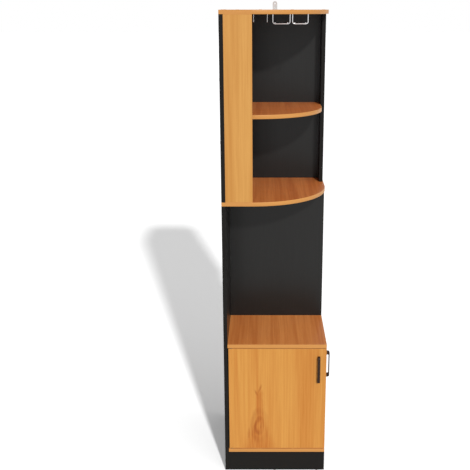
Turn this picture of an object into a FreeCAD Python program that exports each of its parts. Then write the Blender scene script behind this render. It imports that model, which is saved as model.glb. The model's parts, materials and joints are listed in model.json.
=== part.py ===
import FreeCAD, Part
import math
import os

V = FreeCAD.Vector

# Corner bar cabinet. All sizes are in millimetres.
# While it is being modelled, X runs right from the left wall panel, Y runs back from the
# front plane and Z runs up from the floor. The finished pieces are then moved to the origin.

# Overall sizes
WIDTH = 400.0
DEPTH = 450.0
HEIGHT = 1800.0
BOARD = 15.0

# Levels and plan of the boards
LOWER_DEPTH = 315.0
PLINTH_HEIGHT = 85.0
COUNTER_LEVEL = 556.0
MID_LEVEL = 1122.0
SHELF_LEVEL = 1437.0
CORNER_RADIUS = 285.0
FRONT_PANEL_WIDTH = 100.0
SIDE_PANEL_DEPTH = 80.0
SIDE_PANEL_INSET = 3.0
SHELF_SETBACK = 34.0
SHELF_RADIUS = 257.0
SHELF_CLEARANCE = 0.5

# Doors and their pivots
DOOR_GAP = 2.5
MEETING_GAP = 3.0
SWING_CLEARANCE = 0.7
PIVOT_FROM_EDGE = 10.0
PIN_RADIUS = 3.0
PIN_IN_DOOR = 25.0
PIN_IN_BUSH = 6.5
RUNNING_FIT = 0.05
BUSH_RADIUS = 5.0
BUSH_DEPTH = 8.0
BUSH_FLANGE = 6.5
BUSH_TO_DOOR = 0.3

# Bow handles
HANDLE_SPAN = 96.0
HANDLE_LEG = 14.0
HANDLE_REACH = 16.0
HANDLE_STRAP = 4.0
HANDLE_WIDTH = 10.0
HANDLE_OUTER_RADIUS = 7.0
HANDLE_INNER_RADIUS = 3.5
HANDLE_BELOW_TOP = 87.0
FRONT_HANDLE_FROM_EDGE = 30.0
SIDE_HANDLE_FROM_EDGE = 33.0
HANDLE_THREAD_DEPTH = 9.0

# Magnetic catches and their strike plates
CATCH_LENGTH = 40.0
CATCH_DEPTH = 13.0
CATCH_HEIGHT = 12.0
CATCH_FROM_EDGE = 80.0
CATCH_SCREW_SPACING = 26.0
STRIKE_LENGTH = 30.0
STRIKE_HEIGHT = 12.0
STRIKE_THICKNESS = 1.5
STRIKE_GAP = 0.5

# Stemware rack of welded wire
WIRE = 3.4
RACK_DROP = 33.0
RACK_BEND = 8.0
RACK_FRONT = 90.0
SHORT_RACK_FRONT = 300.0
RACK_IN_PANEL = 5.0
RACK_IN_BOARD = 9.0
RACK_WELD = 0.4
RACK_FROM_SIDE = 69.5
STEM_GAP = 9.0
SHORT_STEM_GAP = 19.0
RIGHT_RACK_WIDTH = 55.0
MIDDLE_RACK_WIDTH = 61.0
SHORT_RACK_WIDTH = 52.0

# Wall bracket on the top board
BRACKET_WIDTH = 18.0
BRACKET_HEIGHT = 32.0
BRACKET_LENGTH = 32.0
BRACKET_THICKNESS = 2.0
BRACKET_HOLE_RADIUS = 2.75
BRACKET_SCREW_INSET = 7.0

# Floor glides, plinth block, dowels and shelf pins
GLIDE_HEIGHT = 3.0
GLIDE_RADIUS = 6.0
GLIDE_NAIL_RADIUS = 1.0
GLIDE_NAIL_LENGTH = 12.0
GLIDE_FROM_END = 30.0
BLOCK_SIDE = 22.0
BLOCK_HEIGHT = 60.0
DOWEL_RADIUS = 4.0
DOWEL_IN_PANEL = 20.0
DOWEL_IN_BOARD = 10.0
SHELF_PIN_RADIUS = 2.5
SHELF_PIN_IN_PANEL = 9.0
SHELF_PIN_OUT = 9.0

# Screws: head radius, head height, shank radius, length
HOLE_FIT = 0.05
HOLE_END = 0.5
CARCASS_SCREW = (4.5, 3.0, 2.5, 45.0)
SMALL_SCREW = (3.0, 2.0, 1.5, 10.0)
HANDLE_SCREW_HEAD = (4.0, 2.4)
HANDLE_SCREW_RADIUS = 2.0
CATCH_SCREW_IN_BOARD = 8.0

# Levels and faces that follow from the sizes above
floor_level = GLIDE_HEIGHT
bottom_level = PLINTH_HEIGHT + BOARD
counter_under = COUNTER_LEVEL - BOARD
mid_under = MID_LEVEL - BOARD
top_under = HEIGHT - BOARD
shelf_under = SHELF_LEVEL - BOARD
lower_back_face = LOWER_DEPTH - BOARD
upper_back_face = DEPTH - BOARD
side_panel_right = WIDTH - SIDE_PANEL_INSET
side_panel_left = side_panel_right - BOARD
side_panel_front = upper_back_face - SIDE_PANEL_DEPTH
front_panel_right = BOARD + FRONT_PANEL_WIDTH
half_board = BOARD / 2
right_rack_left = side_panel_left - RACK_FROM_SIDE - RIGHT_RACK_WIDTH
middle_rack_left = right_rack_left - STEM_GAP - MIDDLE_RACK_WIDTH
short_rack_left = middle_rack_left - SHORT_STEM_GAP - SHORT_RACK_WIDTH
wire_top = top_under + RACK_IN_BOARD - HOLE_END
wire_low = top_under - RACK_DROP
wire_rear = upper_back_face + RACK_IN_PANEL - HOLE_END

# A door turns about a pin in the middle of its thickness, so its corner needs this much room
hinge_gap = math.hypot(PIVOT_FROM_EDGE, half_board) - PIVOT_FROM_EDGE + SWING_CLEARANCE
door_low = bottom_level + DOOR_GAP
door_high = counter_under - DOOR_GAP
front_door_left = BOARD + hinge_gap
front_pivot = (front_door_left + PIVOT_FROM_EDGE, half_board)
side_door_front = BOARD + MEETING_GAP
side_door_rear = lower_back_face - hinge_gap
side_pivot = (WIDTH - half_board, side_door_rear - PIVOT_FROM_EDGE)
handle_level = door_high - HANDLE_BELOW_TOP

RIGHT = V(1, 0, 0)
LEFT = V(-1, 0, 0)
BACK = V(0, 1, 0)
FRONT = V(0, -1, 0)
UP = V(0, 0, 1)
DOWN = V(0, 0, -1)

pieces = {}


def block(x, y, z):
    """A box from three (low, high) pairs."""
    return Part.makeBox(x[1] - x[0], y[1] - y[0], z[1] - z[0], V(x[0], y[0], z[0]))


def rounded_board(x, y, z, radius):
    """A board whose front right corner is a quarter circle."""
    slope = radius * math.sqrt(0.5)
    centre = V(x[1] - radius, y[0] + radius, z[0])
    start = V(centre.x, y[0], z[0])
    middle = V(centre.x + slope, centre.y - slope, z[0])
    end = V(x[1], centre.y, z[0])
    back_right = V(x[1], y[1], z[0])
    back_left = V(x[0], y[1], z[0])
    front_left = V(x[0], y[0], z[0])
    edges = [
        Part.LineSegment(front_left, start).toShape(),
        Part.Arc(start, middle, end).toShape(),
        Part.LineSegment(end, back_right).toShape(),
        Part.LineSegment(back_right, back_left).toShape(),
        Part.LineSegment(back_left, front_left).toShape(),
    ]
    return Part.Face(Part.Wire(edges)).extrude(V(0, 0, z[1] - z[0]))


def drill(names, hole):
    for name in names:
        pieces[name] = pieces[name].cut(hole)


def add_to_group(group, solid):
    pieces.setdefault(group, []).append(solid)


def sunk_screw(group, point, axis, size, names):
    """A screw whose head is flush at the point, in a hole through the named pieces."""
    head_radius, head_height, radius, length = size
    head = Part.makeCylinder(head_radius, head_height, point, axis)
    shank = Part.makeCylinder(radius, length, point, axis)
    seat = Part.makeCylinder(head_radius + HOLE_FIT, head_height, point, axis)
    bore = Part.makeCylinder(radius + HOLE_FIT, length + HOLE_END, point, axis)
    add_to_group(group, head.fuse(shank).removeSplitter())
    drill(names, seat.fuse(bore))


def round_peg(group, point, axis, radius, length, names):
    """A plain dowel, pin or nail in a hole of its own through the named pieces."""
    add_to_group(group, Part.makeCylinder(radius, length, point, axis))
    drill(names, Part.makeCylinder(radius + HOLE_FIT, length, point, axis))


def thirds(low, high):
    """Two places a third of the way in from each end."""
    step = (high - low) / 3
    return (low + step, high - step)


def make_boards():
    full_plan = ((0, WIDTH), (0, DEPTH))
    lower_plan = ((BOARD, WIDTH), (0, lower_back_face))
    pieces["top_board"] = rounded_board(*full_plan, (top_under, HEIGHT), CORNER_RADIUS)
    pieces["mid_board"] = rounded_board(*full_plan, (mid_under, MID_LEVEL), CORNER_RADIUS)
    shelf_x = (BOARD + SHELF_CLEARANCE, side_panel_left - SHELF_CLEARANCE)
    shelf_y = (SHELF_SETBACK, upper_back_face - SHELF_CLEARANCE)
    shelf_z = (shelf_under, SHELF_LEVEL)
    pieces["upper_shelf"] = rounded_board(shelf_x, shelf_y, shelf_z, SHELF_RADIUS)
    pieces["counter_top"] = block(*lower_plan, (counter_under, COUNTER_LEVEL))
    pieces["bottom_board"] = block(*lower_plan, (PLINTH_HEIGHT, bottom_level))


def make_panels():
    lower = (floor_level, mid_under)
    upper = (MID_LEVEL, top_under)
    pieces["left_lower_panel"] = block((0, BOARD), (0, DEPTH), lower)
    pieces["left_upper_panel"] = block((0, BOARD), (0, DEPTH), upper)
    pieces["back_lower_panel"] = block((BOARD, WIDTH), (lower_back_face, LOWER_DEPTH), lower)
    pieces["back_upper_panel"] = block((BOARD, side_panel_right), (upper_back_face, DEPTH), upper)
    side_x = (side_panel_left, side_panel_right)
    pieces["right_upper_panel"] = block(side_x, (side_panel_front, upper_back_face), upper)
    pieces["front_upper_panel"] = block((BOARD, front_panel_right), (0, BOARD), upper)


def make_plinth():
    level = (floor_level, PLINTH_HEIGHT)
    pieces["front_plinth"] = block((BOARD, WIDTH), (0, BOARD), level)
    pieces["side_plinth"] = block((WIDTH - BOARD, WIDTH), (BOARD, lower_back_face), level)
    block_x = (WIDTH - BOARD - BLOCK_SIDE, WIDTH - BOARD)
    block_y = (BOARD, BOARD + BLOCK_SIDE)
    block_z = (PLINTH_HEIGHT - BLOCK_HEIGHT, PLINTH_HEIGHT)
    pieces["plinth_corner_block"] = block(block_x, block_y, block_z)


def make_doors():
    level = (door_low, door_high)
    pieces["front_door"] = block((front_door_left, WIDTH), (0, BOARD), level)
    pieces["side_door"] = block((WIDTH - BOARD, WIDTH), (side_door_front, side_door_rear), level)


def make_pivots(side, pivot):
    """Pins in the door's top and bottom edges, running in flanged bushes in the boards."""
    flange = DOOR_GAP - BUSH_TO_DOOR
    ends = (
        ("counter_top", counter_under, door_high, UP),
        ("bottom_board", bottom_level, door_low, DOWN),
    )
    for board, board_face, door_edge, out in ends:
        seat = V(pivot[0], pivot[1], board_face)
        edge = V(pivot[0], pivot[1], door_edge)
        body = Part.makeCylinder(BUSH_RADIUS, BUSH_DEPTH, seat, out)
        collar = Part.makeCylinder(BUSH_FLANGE, flange, seat, out * -1)
        bore_start = seat - out * flange
        bore_length = flange + BUSH_DEPTH
        bore = Part.makeCylinder(PIN_RADIUS + RUNNING_FIT, bore_length, bore_start, out)
        add_to_group(side + "_pivot_bushes", body.fuse(collar).removeSplitter().cut(bore))
        drill([board], Part.makeCylinder(BUSH_RADIUS + HOLE_FIT, BUSH_DEPTH + HOLE_FIT, seat, out))
        pin_start = edge - out * PIN_IN_DOOR
        pin_length = PIN_IN_DOOR + DOOR_GAP + PIN_IN_BUSH
        add_to_group(side + "_pivot_pins", Part.makeCylinder(PIN_RADIUS, pin_length, pin_start, out))
        socket = Part.makeCylinder(PIN_RADIUS + HOLE_FIT, PIN_IN_DOOR, pin_start, out)
        drill([side + "_door"], socket)


def bow_profile():
    """The handle from the side: length along X, reach along Y, closed by the two feet."""
    end = (HANDLE_SPAN + HANDLE_LEG) / 2
    inner = (HANDLE_SPAN - HANDLE_LEG) / 2
    grip = HANDLE_REACH - HANDLE_STRAP
    outer_box = block((-end, end), (0, HANDLE_REACH), (0, HANDLE_WIDTH))
    gap_box = block((-inner, inner), (-HANDLE_REACH, grip), (0, HANDLE_WIDTH))
    outer_edges = [
        edge for edge in outer_box.Edges
        if edge.BoundBox.ZLength > HANDLE_WIDTH / 2 and edge.BoundBox.YMin > HANDLE_REACH / 2
    ]
    gap_edges = [
        edge for edge in gap_box.Edges
        if edge.BoundBox.ZLength > HANDLE_WIDTH / 2 and edge.BoundBox.YMin > 0
    ]
    outer = outer_box.makeFillet(HANDLE_OUTER_RADIUS, outer_edges)
    return outer.cut(gap_box.makeFillet(HANDLE_INNER_RADIUS, gap_edges))


def make_handle(side, foot, out):
    """A bow handle standing on a door face at foot, reaching along out, with its screws."""
    handle = bow_profile()
    handle.translate(V(0, 0, -HANDLE_WIDTH / 2))
    across = out.cross(UP)
    turn = FreeCAD.Matrix(
        UP.x, out.x, across.x, foot.x,
        UP.y, out.y, across.y, foot.y,
        UP.z, out.z, across.z, foot.z,
        0, 0, 0, 1,
    )
    pieces[side + "_handle"] = handle.transformGeometry(turn)
    head_radius, head_height = HANDLE_SCREW_HEAD
    for step in (-HANDLE_SPAN / 2, HANDLE_SPAN / 2):
        inside = foot - out * BOARD + UP * step
        length = BOARD + HANDLE_THREAD_DEPTH
        head = Part.makeCylinder(head_radius, head_height, inside, out * -1)
        shank = Part.makeCylinder(HANDLE_SCREW_RADIUS, length, inside, out)
        add_to_group(side + "_handle_screws", head.fuse(shank).removeSplitter())
        bore = Part.makeCylinder(HANDLE_SCREW_RADIUS + HOLE_FIT, length + HOLE_END, inside, out)
        drill([side + "_door", side + "_handle"], bore)


def make_catch(side, point, inward, along):
    """A magnetic catch under the counter and its strike plate on the door's inner face."""
    reach = STRIKE_THICKNESS + STRIKE_GAP
    low = point + inward * reach - along * (CATCH_LENGTH / 2) + DOWN * CATCH_HEIGHT
    high = low + inward * CATCH_DEPTH + along * CATCH_LENGTH + UP * CATCH_HEIGHT
    spans = [sorted((low[axis], high[axis])) for axis in range(3)]
    catch = side + "_catch"
    pieces[catch] = block(*spans)
    head_radius, head_height, radius, length = SMALL_SCREW
    catch_screw = (head_radius, head_height, radius, CATCH_HEIGHT + CATCH_SCREW_IN_BOARD)
    middle = point + inward * (reach + CATCH_DEPTH / 2) + DOWN * CATCH_HEIGHT
    for step in (-CATCH_SCREW_SPACING / 2, CATCH_SCREW_SPACING / 2):
        sunk_screw("catch_screws", middle + along * step, UP, catch_screw, [catch, "counter_top"])
    strike_low = point - along * (STRIKE_LENGTH / 2) + DOWN * (DOOR_GAP + STRIKE_HEIGHT)
    strike_high = strike_low + inward * STRIKE_THICKNESS + along * STRIKE_LENGTH + UP * STRIKE_HEIGHT
    spans = [sorted((strike_low[axis], strike_high[axis])) for axis in range(3)]
    strike = side + "_strike_plate"
    pieces[strike] = block(*spans)
    screw_point = (strike_low + strike_high) * 0.5 + inward * (STRIKE_THICKNESS / 2)
    plate_screw = (head_radius, STRIKE_THICKNESS / 2, radius, length)
    sunk_screw(side + "_strike_screw", screw_point, inward * -1, plate_screw, [strike, side + "_door"])


def bent_wire(corners):
    """A wire along straight runs at right angles, with the same bend at each inner corner."""
    slope = RACK_BEND * (1 - math.sqrt(0.5))
    edges = []
    run_start = corners[0]
    for before, corner, after in zip(corners, corners[1:], corners[2:]):
        inward = (corner - before).normalize()
        outward = (after - corner).normalize()
        bend_start = corner - inward * RACK_BEND
        bend_middle = corner + (outward - inward) * slope
        bend_end = corner + outward * RACK_BEND
        edges.append(Part.LineSegment(run_start, bend_start).toShape())
        edges.append(Part.Arc(bend_start, bend_middle, bend_end).toShape())
        run_start = bend_end
    edges.append(Part.LineSegment(run_start, corners[-1]).toShape())
    section = Part.Wire(Part.Circle(corners[0], corners[1] - corners[0], WIRE / 2).toShape())
    return Part.Wire(edges).makePipeShell([section], True, False)


def wire_socket(board, point, axis, depth):
    drill([board], Part.makeCylinder(WIRE / 2 + HOLE_FIT, depth, point, axis))


def make_rack(name, left, width):
    """A U of wire at the front, and two rails welded on it that run back into the back panel."""
    right = left + width
    corners = [
        V(left, RACK_FRONT, wire_top),
        V(left, RACK_FRONT, wire_low),
        V(right, RACK_FRONT, wire_low),
        V(right, RACK_FRONT, wire_top),
    ]
    rack = bent_wire(corners)
    rail_level = wire_low + WIRE - RACK_WELD
    rail_front = RACK_FRONT - WIRE
    for x in (left + RACK_BEND, right - RACK_BEND):
        rail = Part.makeCylinder(WIRE / 2, wire_rear - rail_front, V(x, rail_front, rail_level), BACK)
        rack = rack.fuse(rail)
        wire_socket("back_upper_panel", V(x, upper_back_face, rail_level), BACK, RACK_IN_PANEL)
    pieces[name] = rack
    for x in (left, right):
        wire_socket("top_board", V(x, RACK_FRONT, top_under), UP, RACK_IN_BOARD)


def make_short_rack(name, left, width):
    """Two single wires that drop from the top board and turn back into the back panel."""
    for x in (left, left + width):
        corners = [
            V(x, SHORT_RACK_FRONT, wire_top),
            V(x, SHORT_RACK_FRONT, wire_low),
            V(x, wire_rear, wire_low),
        ]
        add_to_group(name, bent_wire(corners))
        wire_socket("top_board", V(x, SHORT_RACK_FRONT, top_under), UP, RACK_IN_BOARD)
        wire_socket("back_upper_panel", V(x, upper_back_face, wire_low), BACK, RACK_IN_PANEL)


def make_wall_bracket():
    """An angle on the top board whose upright tab takes one screw into the wall."""
    middle = WIDTH / 2
    half = BRACKET_WIDTH / 2
    tab_face = DEPTH - BRACKET_THICKNESS
    tip = HEIGHT + BRACKET_HEIGHT
    foot = block(
        (middle - half, middle + half),
        (DEPTH - BRACKET_LENGTH, DEPTH),
        (HEIGHT, HEIGHT + BRACKET_THICKNESS),
    )
    tab = block((middle - half, middle + half), (tab_face, DEPTH), (HEIGHT, tip - half))
    eye = V(middle, tab_face, tip - half)
    round_end = Part.makeCylinder(half, BRACKET_THICKNESS, eye, BACK)
    bracket = foot.fuse([tab, round_end]).removeSplitter()
    pieces["wall_bracket"] = bracket.cut(
        Part.makeCylinder(BRACKET_HOLE_RADIUS, BRACKET_THICKNESS, eye, BACK)
    )
    level = HEIGHT + BRACKET_THICKNESS
    first = DEPTH - BRACKET_LENGTH + BRACKET_SCREW_INSET
    second = tab_face - BRACKET_SCREW_INSET
    for y in (first, second):
        size = (SMALL_SCREW[0], BRACKET_THICKNESS / 2, SMALL_SCREW[2], SMALL_SCREW[3])
        names = ["wall_bracket", "top_board"]
        sunk_screw("wall_bracket_screws", V(middle, y, level), DOWN, size, names)


def fasten_top():
    group = "top_board_screws"
    spots = [(half_board, y, "left_upper_panel") for y in thirds(0, DEPTH)]
    spots += [(x, DEPTH - half_board, "back_upper_panel") for x in thirds(BOARD, side_panel_right)]
    spots.append(((BOARD + front_panel_right) / 2, half_board, "front_upper_panel"))
    side_middle = (side_panel_front + upper_back_face) / 2
    spots.append((side_panel_right - half_board, side_middle, "right_upper_panel"))
    for x, y, panel in spots:
        sunk_screw(group, V(x, y, HEIGHT), DOWN, CARCASS_SCREW, ["top_board", panel])


def fasten_mid():
    """Screws from below into the upper panels, dowels where a panel also stands underneath."""
    group = "mid_board_screws"
    spots = [(x, DEPTH - half_board, "back_upper_panel") for x in thirds(BOARD, side_panel_right)]
    spots.append(((BOARD + front_panel_right) / 2, half_board, "front_upper_panel"))
    side_middle = (side_panel_front + upper_back_face) / 2
    spots.append((side_panel_right - half_board, side_middle, "right_upper_panel"))
    for x, y, panel in spots:
        sunk_screw(group, V(x, y, mid_under), UP, CARCASS_SCREW, ["mid_board", panel])
    through = 2 * DOWEL_IN_PANEL + BOARD
    for y in thirds(0, DEPTH):
        point = V(half_board, y, mid_under - DOWEL_IN_PANEL)
        names = ["left_lower_panel", "mid_board", "left_upper_panel"]
        round_peg("dowels", point, UP, DOWEL_RADIUS, through, names)
    for x in thirds(BOARD, WIDTH):
        point = V(x, LOWER_DEPTH - half_board, mid_under - DOWEL_IN_PANEL)
        length = DOWEL_IN_PANEL + DOWEL_IN_BOARD
        round_peg("dowels", point, UP, DOWEL_RADIUS, length, ["back_lower_panel", "mid_board"])


def fasten_left_side():
    """Screws through the two left panels into the ends of what meets them."""
    spots = []
    for board, top in (("counter_top", COUNTER_LEVEL), ("bottom_board", bottom_level)):
        spots += [(y, top - half_board, "left_lower_panel", board) for y in thirds(0, lower_back_face)]
    back_middle = LOWER_DEPTH - half_board
    for z in thirds(floor_level, mid_under):
        spots.append((back_middle, z, "left_lower_panel", "back_lower_panel"))
    for z in thirds(MID_LEVEL, top_under):
        spots.append((half_board, z, "left_upper_panel", "front_upper_panel"))
        spots.append((DEPTH - half_board, z, "left_upper_panel", "back_upper_panel"))
    spots.append((half_board, PLINTH_HEIGHT / 2, "left_lower_panel", "front_plinth"))
    for y, z, panel, board in spots:
        sunk_screw("left_side_screws", V(0, y, z), RIGHT, CARCASS_SCREW, [panel, board])


def fasten_back():
    """Screws through the two back panels, towards the front."""
    for board, top in (("counter_top", COUNTER_LEVEL), ("bottom_board", bottom_level)):
        for x in thirds(BOARD, WIDTH):
            point = V(x, LOWER_DEPTH, top - half_board)
            sunk_screw("back_screws", point, FRONT, CARCASS_SCREW, ["back_lower_panel", board])
    for z in thirds(MID_LEVEL, top_under):
        point = V(side_panel_right - half_board, DEPTH, z)
        names = ["back_upper_panel", "right_upper_panel"]
        sunk_screw("back_screws", point, FRONT, CARCASS_SCREW, names)
    point = V(WIDTH - half_board, LOWER_DEPTH, PLINTH_HEIGHT / 2)
    sunk_screw("back_screws", point, FRONT, CARCASS_SCREW, ["back_lower_panel", "side_plinth"])


def fasten_plinth():
    group = "plinth_screws"
    for x in thirds(BOARD, WIDTH):
        point = V(x, half_board, bottom_level)
        sunk_screw(group, point, DOWN, CARCASS_SCREW, ["bottom_board", "front_plinth"])
    point = V(WIDTH - half_board, lower_back_face / 2, bottom_level)
    sunk_screw(group, point, DOWN, CARCASS_SCREW, ["bottom_board", "side_plinth"])
    middle = V(WIDTH - BOARD - BLOCK_SIDE / 2, BOARD + BLOCK_SIDE / 2, bottom_level)
    sunk_screw(group, middle, DOWN, CARCASS_SCREW, ["bottom_board", "plinth_corner_block"])


def make_glides():
    spots = [(half_board, y, "left_lower_panel") for y in (GLIDE_FROM_END, DEPTH - GLIDE_FROM_END)]
    rear = LOWER_DEPTH - half_board
    spots += [(x, rear, "back_lower_panel") for x in (WIDTH / 2, WIDTH - GLIDE_FROM_END)]
    spots += [(x, half_board, "front_plinth") for x in (WIDTH / 2, WIDTH - GLIDE_FROM_END)]
    for x, y, panel in spots:
        disc = Part.makeCylinder(GLIDE_RADIUS, GLIDE_HEIGHT, V(x, y, 0), UP)
        nail = Part.makeCylinder(GLIDE_NAIL_RADIUS, GLIDE_NAIL_LENGTH, V(x, y, 0), UP)
        add_to_group("floor_glides", disc.fuse(nail).removeSplitter())
        hole = Part.makeCylinder(GLIDE_NAIL_RADIUS + HOLE_FIT, GLIDE_NAIL_LENGTH, V(x, y, 0), UP)
        drill([panel], hole)


def make_shelf_pins():
    """Pins in the panels, under the edges of the upper shelf."""
    level = shelf_under - SHELF_PIN_RADIUS
    length = SHELF_PIN_IN_PANEL + SHELF_PIN_OUT
    side_middle = (side_panel_front + upper_back_face) / 2
    for y in thirds(0, DEPTH):
        point = V(BOARD - SHELF_PIN_IN_PANEL, y, level)
        round_peg("shelf_pins", point, RIGHT, SHELF_PIN_RADIUS, length, ["left_upper_panel"])
    for x in thirds(BOARD, side_panel_left):
        point = V(x, upper_back_face + SHELF_PIN_IN_PANEL, level)
        round_peg("shelf_pins", point, FRONT, SHELF_PIN_RADIUS, length, ["back_upper_panel"])
    point = V(side_panel_left + SHELF_PIN_IN_PANEL, side_middle, level)
    round_peg("shelf_pins", point, LEFT, SHELF_PIN_RADIUS, length, ["right_upper_panel"])


def export_pieces():
    """Moves the origin to the middle of the footprint box, on the floor, and writes the files."""
    os.makedirs("parts", exist_ok=True)
    origin = V((WIDTH + HANDLE_REACH) / 2, (DEPTH - HANDLE_REACH) / 2, 0)
    for name, piece in pieces.items():
        shape = Part.makeCompound(piece) if isinstance(piece, list) else piece.copy()
        shape.translate(origin * -1)
        shape.exportStep("parts/" + name + ".step")
        if not shape.isValid():
            print("not valid:", name)
    print("pieces:", len(pieces), "origin:", tuple(origin))
    print("front pivot:", front_pivot, "side pivot:", side_pivot, "handle level:", handle_level)


make_boards()
make_panels()
make_plinth()
make_doors()
make_pivots("front", front_pivot)
make_pivots("side", side_pivot)
front_foot = V(WIDTH - FRONT_HANDLE_FROM_EDGE, 0, handle_level)
side_foot = V(WIDTH, side_door_front + SIDE_HANDLE_FROM_EDGE, handle_level)
make_handle("front", front_foot, FRONT)
make_handle("side", side_foot, RIGHT)
make_catch("front", V(WIDTH - CATCH_FROM_EDGE, BOARD, counter_under), BACK, RIGHT)
make_catch("side", V(WIDTH - BOARD, CATCH_FROM_EDGE, counter_under), LEFT, BACK)
make_short_rack("short_glass_rack", short_rack_left, SHORT_RACK_WIDTH)
make_rack("middle_glass_rack", middle_rack_left, MIDDLE_RACK_WIDTH)
make_rack("right_glass_rack", right_rack_left, RIGHT_RACK_WIDTH)
make_wall_bracket()
fasten_top()
fasten_mid()
fasten_left_side()
fasten_back()
fasten_plinth()
make_glides()
make_shelf_pins()
export_pieces()
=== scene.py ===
# %% [markdown]
# # A corner bar cabinet, dressed cell by cell
# The real thing is a tall, narrow cabinet of laminated board: honey-coloured boards and doors, black
# side and back panels, two bow handles and a chrome rack for stemmed glasses under the top board.
# Its workshop model already holds every board, screw and pin at its real size. It could be redrawn
# here, but then the two would drift apart, so this lesson loads that model as a fixed frame and only
# dresses it.

# %% Load the frame
import json
import math

import bmesh
import bpy
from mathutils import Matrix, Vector


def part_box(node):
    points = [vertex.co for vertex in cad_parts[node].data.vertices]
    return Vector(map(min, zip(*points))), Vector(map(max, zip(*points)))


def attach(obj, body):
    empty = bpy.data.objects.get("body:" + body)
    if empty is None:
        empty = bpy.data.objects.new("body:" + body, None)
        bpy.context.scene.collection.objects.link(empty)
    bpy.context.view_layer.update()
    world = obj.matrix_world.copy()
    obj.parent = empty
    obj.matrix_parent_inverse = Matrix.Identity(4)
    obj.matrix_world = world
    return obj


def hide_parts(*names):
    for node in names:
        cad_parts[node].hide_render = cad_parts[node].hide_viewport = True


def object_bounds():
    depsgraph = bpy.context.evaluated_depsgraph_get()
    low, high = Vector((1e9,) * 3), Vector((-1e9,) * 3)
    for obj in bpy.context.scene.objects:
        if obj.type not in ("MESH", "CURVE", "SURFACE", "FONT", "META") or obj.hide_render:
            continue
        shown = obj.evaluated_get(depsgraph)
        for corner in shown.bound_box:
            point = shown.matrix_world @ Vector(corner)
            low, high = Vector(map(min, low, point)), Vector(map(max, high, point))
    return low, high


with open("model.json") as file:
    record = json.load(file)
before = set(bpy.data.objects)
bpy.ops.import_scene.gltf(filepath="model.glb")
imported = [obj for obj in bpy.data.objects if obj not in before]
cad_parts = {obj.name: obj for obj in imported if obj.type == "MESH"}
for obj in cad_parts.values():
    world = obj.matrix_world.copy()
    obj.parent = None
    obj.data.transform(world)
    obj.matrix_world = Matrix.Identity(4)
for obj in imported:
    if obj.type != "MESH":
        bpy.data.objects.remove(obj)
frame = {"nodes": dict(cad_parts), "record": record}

MM = 0.001
cad_low, cad_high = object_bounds()


def in_mm(size):
    return [round(side / MM, 1) for side in size]


print("frame:", len(frame["nodes"]), "nodes, size in mm:", in_mm(cad_high - cad_low))

# %% [markdown]
# ## A helper for shader nodes
# Every finish here is a small network of nodes. Adding a node, setting it and linking it takes three
# lines each time, so one helper does all three: an input is given either a plain value or another
# node's output.

# %% Helper: place a node
def put(tree, kind, inputs=None, **settings):
    made = tree.nodes.new(kind)
    for name, value in settings.items():
        setattr(made, name, value)
    for key, value in (inputs or {}).items():
        if isinstance(value, bpy.types.NodeSocket):
            tree.links.new(value, made.inputs[key])
        else:
            made.inputs[key].default_value = value
    return made


print("node helper ready")

# %% [markdown]
# ## Sums, noise, ramps and blends
# The patterns of wood, paper and metal are all made of four steps: a sum, a noise that is stretched
# along the grain, a smooth ramp from one value to another, and a blend of two colours. Each could be
# written out where it is used, but a short name for each keeps the patterns readable.
# The Mix node holds sockets for numbers, vectors and colours, so its colour sockets are picked by
# their place.

# %% Helpers: sums, noise, ramps and blends
MIX_SHARE = 0
MIX_FIRST = 6
MIX_SECOND = 7
MIX_RESULT = 2
NOISE_MIDDLE = 0.5


def calc(tree, operation, first, second=0.0, third=0.0):
    made = put(tree, "ShaderNodeMath", {0: first, 1: second, 2: third}, operation=operation)
    return made.outputs[0]


def vector_calc(tree, operation, first, second):
    made = put(tree, "ShaderNodeVectorMath", {0: first, 1: second}, operation=operation)
    return made.outputs[0]


def noise(tree, place, scale, detail=3.0, roughness=0.55):
    stretched = put(tree, "ShaderNodeMapping", {"Vector": place, "Scale": scale}).outputs[0]
    inputs = {"Vector": stretched, "Scale": 1.0, "Detail": detail, "Roughness": roughness}
    return put(tree, "ShaderNodeTexNoise", inputs).outputs["Fac"]


def ramp(tree, value, low, high, to_low=0.0, to_high=1.0):
    inputs = {"Value": value, "From Min": low, "From Max": high, "To Min": to_low, "To Max": to_high}
    made = put(tree, "ShaderNodeMapRange", inputs, interpolation_type="SMOOTHSTEP")
    return made.outputs["Result"]


def blend_colour(tree, share, first, second):
    inputs = {MIX_SHARE: share, MIX_FIRST: first, MIX_SECOND: second}
    return put(tree, "ShaderNodeMix", inputs, data_type="RGBA").outputs[MIX_RESULT]


print("pattern helpers ready")

# %% [markdown]
# ## A start for node groups
# A pattern that several finishes share is a node group: it is built once, and each material gives it
# its own colours through named sockets. Copying the nodes into each material would work too, but then
# a change would have to be made in each of them.

# %% Helper: start a node group
def start_group(name, inputs, outputs):
    group = bpy.data.node_groups.new(name, "ShaderNodeTree")
    for label, kind in inputs:
        group.interface.new_socket(label, in_out="INPUT", socket_type="NodeSocket" + kind)
    for label, kind in outputs:
        group.interface.new_socket(label, in_out="OUTPUT", socket_type="NodeSocket" + kind)
    source = group.nodes.new("NodeGroupInput").outputs
    sink = group.nodes.new("NodeGroupOutput").inputs
    return group, source, sink


SURFACE_OUTPUTS = [("Color", "Color"), ("Roughness", "Float"), ("Height", "Float")]
print("each surface group puts out:", [label for label, kind in SURFACE_OUTPUTS])

# %% [markdown]
# ## The wood print
# The honey boards are particle board with a printed wood paper pressed on. The print shows broad
# bands, thin streaks and short dark pores.
# A picture of wood would do it, but a picture has one size and a seam. Noise stretched along the grain
# has neither. In this group the grain runs along Z and the streaks lie across X and Y; a Mapping node
# in each material turns it. The Cut socket says from which place of the printed sheet a board is cut.

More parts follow.
